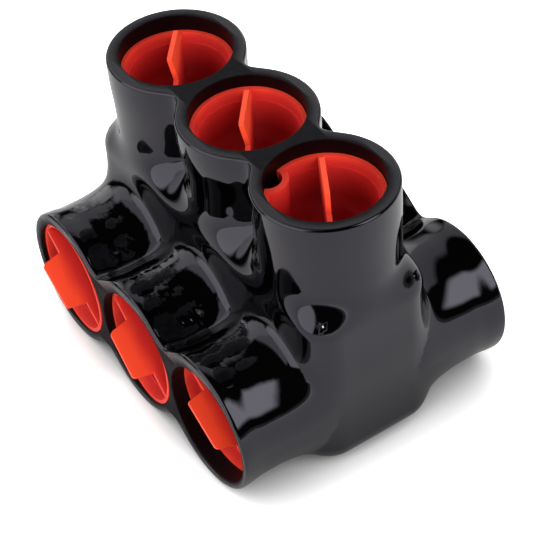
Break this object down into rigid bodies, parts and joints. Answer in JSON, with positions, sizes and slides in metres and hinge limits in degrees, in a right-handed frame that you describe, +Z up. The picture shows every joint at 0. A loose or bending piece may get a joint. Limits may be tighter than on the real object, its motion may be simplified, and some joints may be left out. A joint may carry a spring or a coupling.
{
  "type": "insulated multi-tap connector",
  "caption": "Boot-insulated cable connector with a row of through ports, screw towers above them and push-in pull-tab plugs closing every mouth.",
  "frame": {"origin": "middle of the underside", "axes": "+X along the row of ports, -Y out of the front mouths, +Z up through the screw towers"},
  "size_m": [0.0904, 0.0792, 0.0677],
  "materials": {
    "boot_vinyl": "glossy dipped vinyl",
    "plug_plastic": "smooth moulded, slightly see-through red orange",
    "block_metal": "tin plated, satin",
    "screw_metal": "tin plated, machined"
  },
  "bodies": {
    "connector": {"insulation_boot": "boot_vinyl", "aluminium_block": "block_metal"},
    "screw_1": {"set_screw_1": "screw_metal"},
    "screw_2": {"set_screw_2": "screw_metal"},
    "screw_3": {"set_screw_3": "screw_metal"},
    "tower_stopper_1": {"tower_plug_1": "plug_plastic"},
    "tower_stopper_2": {"tower_plug_2": "plug_plastic"},
    "tower_stopper_3": {"tower_plug_3": "plug_plastic"},
    "front_stopper_1": {"front_plug_1": "plug_plastic"},
    "front_stopper_2": {"front_plug_2": "plug_plastic"},
    "front_stopper_3": {"front_plug_3": "plug_plastic"},
    "rear_stopper_1": {"rear_plug_1": "plug_plastic"},
    "rear_stopper_2": {"rear_plug_2": "plug_plastic"},
    "rear_stopper_3": {"rear_plug_3": "plug_plastic"}
  },
  "joints": [
    {"name": "screw_1_travel", "type": "slide", "parent": "connector", "child": "screw_1", "axis": [0, 0, -1], "range_m": [0, 0.012]},
    {"name": "screw_2_travel", "type": "slide", "parent": "connector", "child": "screw_2", "axis": [0, 0, -1], "range_m": [0, 0.012]},
    {"name": "screw_3_travel", "type": "slide", "parent": "connector", "child": "screw_3", "axis": [0, 0, -1], "range_m": [0, 0.012]},
    {"name": "tower_plug_1_pull", "type": "slide", "parent": "connector", "child": "tower_stopper_1", "axis": [0, 0, 1], "range_m": [0, 0.08]},
    {"name": "tower_plug_2_pull", "type": "slide", "parent": "connector", "child": "tower_stopper_2", "axis": [0, 0, 1], "range_m": [0, 0.08]},
    {"name": "tower_plug_3_pull", "type": "slide", "parent": "connector", "child": "tower_stopper_3", "axis": [0, 0, 1], "range_m": [0, 0.08]},
    {"name": "front_plug_1_pull", "type": "slide", "parent": "connector", "child": "front_stopper_1", "axis": [0, -1, 0], "range_m": [0, 0.08]},
    {"name": "front_plug_2_pull", "type": "slide", "parent": "connector", "child": "front_stopper_2", "axis": [0, -1, 0], "range_m": [0, 0.08]},
    {"name": "front_plug_3_pull", "type": "slide", "parent": "connector", "child": "front_stopper_3", "axis": [0, -1, 0], "range_m": [0, 0.08]},
    {"name": "rear_plug_1_pull", "type": "slide", "parent": "connector", "child": "rear_stopper_1", "axis": [0, 1, 0], "range_m": [0, 0.08]},
    {"name": "rear_plug_2_pull", "type": "slide", "parent": "connector", "child": "rear_stopper_2", "axis": [0, 1, 0], "range_m": [0, 0.08]},
    {"name": "rear_plug_3_pull", "type": "slide", "parent": "connector", "child": "rear_stopper_3", "axis": [0, 1, 0], "range_m": [0, 0.08]}
  ]
}
